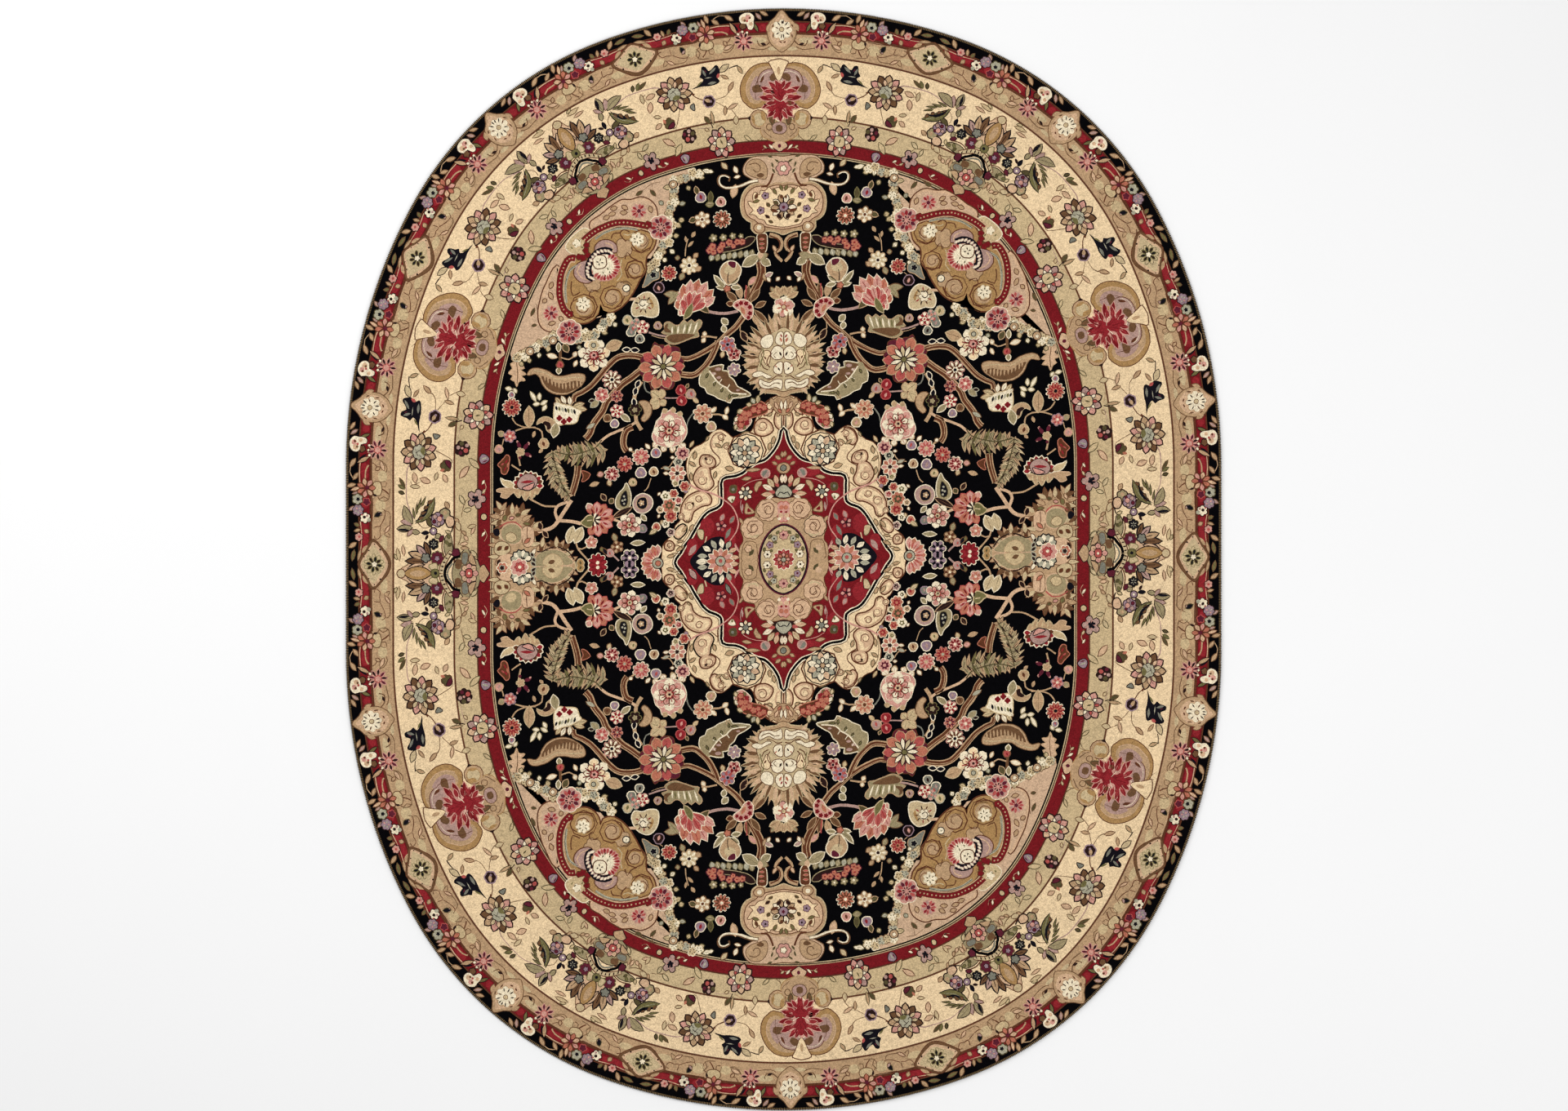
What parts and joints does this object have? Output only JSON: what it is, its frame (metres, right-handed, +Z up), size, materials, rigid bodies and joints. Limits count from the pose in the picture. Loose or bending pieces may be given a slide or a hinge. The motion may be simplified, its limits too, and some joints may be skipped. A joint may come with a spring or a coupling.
{
  "type": "oval medallion rug",
  "caption": "Oval hand-tufted floral medallion rug with a black field, an ivory main border, carved wool and silk pile, cloth backing and whipped edge.",
  "frame": {"origin": "centre of the oval underside, on the floor", "axes": "+X across the rug, +Y along its length, +Z up out of the pile"},
  "size_m": [2.3, 2.8956, 0.0125],
  "materials": {
    "cotton_canvas": "plain woven cotton backing cloth, matte",
    "cotton_tape": "woven cotton binding tape, matte",
    "jute_cord": "twisted jute cord",
    "latex": "dried latex compound, matte",
    "tufting_cloth": "monk cloth tufting base, matte",
    "wool_black": "cut wool pile, near black",
    "wool_brown": "cut wool pile, walnut brown",
    "wool_cream": "cut silk pile, cream, soft sheen",
    "wool_gold": "cut wool pile, old gold",
    "wool_grey": "cut wool pile, blue grey",
    "wool_ivory": "cut wool and silk pile, ivory",
    "wool_olive": "cut wool pile, olive",
    "wool_pink": "cut wool pile, pale pink",
    "wool_red": "cut wool pile, deep red",
    "wool_rose": "cut wool pile, rose pink",
    "wool_sage": "cut wool pile, pale sage",
    "wool_tan": "cut wool pile, tan",
    "wool_wine": "cut wool pile, wine"
  },
  "bodies": {
    "root": {"axis_palmette_hearts": "wool_rose", "binding_tape": "cotton_tape", "border_ivory_ground": "wool_ivory", "border_leaves": "wool_olive", "border_outline_pile": "wool_brown", "border_rosettes": "wool_wine", "border_sage_ground": "wool_sage", "border_star_flowers": "wool_rose", "border_star_hearts": "wool_grey", "border_tulips_and_buds": "wool_pink", "centre_oval": "wool_sage", "corner_cartouches": "wool_gold", "corner_crests": "wool_wine", "corner_hearts": "wool_rose", "edge_band_pile": "wool_black", "edge_cord": "jute_cord", "edge_serging": "wool_black", "end_vases": "wool_ivory", "field_black_ground": "wool_black", "field_buds": "wool_gold", "field_carnations": "wool_rose", "field_edge_lines": "wool_tan", "field_leaves": "wool_ivory", "field_peonies": "wool_pink", "field_pods": "wool_tan", "field_rosettes": "wool_pink", "field_star_flowers": "wool_rose", "field_star_hearts": "wool_cream", "field_stems": "wool_brown", "guard_cartouches": "wool_cream", "guard_diamonds": "wool_cream", "guard_flowers": "wool_rose", "guard_outline_pile": "wool_brown", "guard_red_ground": "wool_red", "guard_tan_ground": "wool_tan", "inner_red_band": "wool_red", "latex_coat": "latex", "medallion_blossoms": "wool_cream", "medallion_outline": "wool_black", "medallion_palmettes": "wool_pink", "medallion_red_ground": "wool_red", "medallion_rim": "wool_ivory", "medallion_scallops": "wool_tan", "palmette_hearts": "wool_rose", "palmette_scrolls": "wool_tan", "palmette_shells": "wool_brown", "pendant_palmettes": "wool_tan", "primary_backing": "tufting_cloth", "rim_rondels": "wool_wine", "secondary_backing": "cotton_canvas", "side_vase_flowers": "wool_pink", "side_vases": "wool_tan", "spandrel_flowers": "wool_sage", "spandrel_grounds": "wool_ivory", "vase_bodies": "wool_olive", "vase_collars": "wool_cream", "vase_crowns": "wool_pink", "vase_flowers": "wool_rose"}
  },
  "joints": []
}
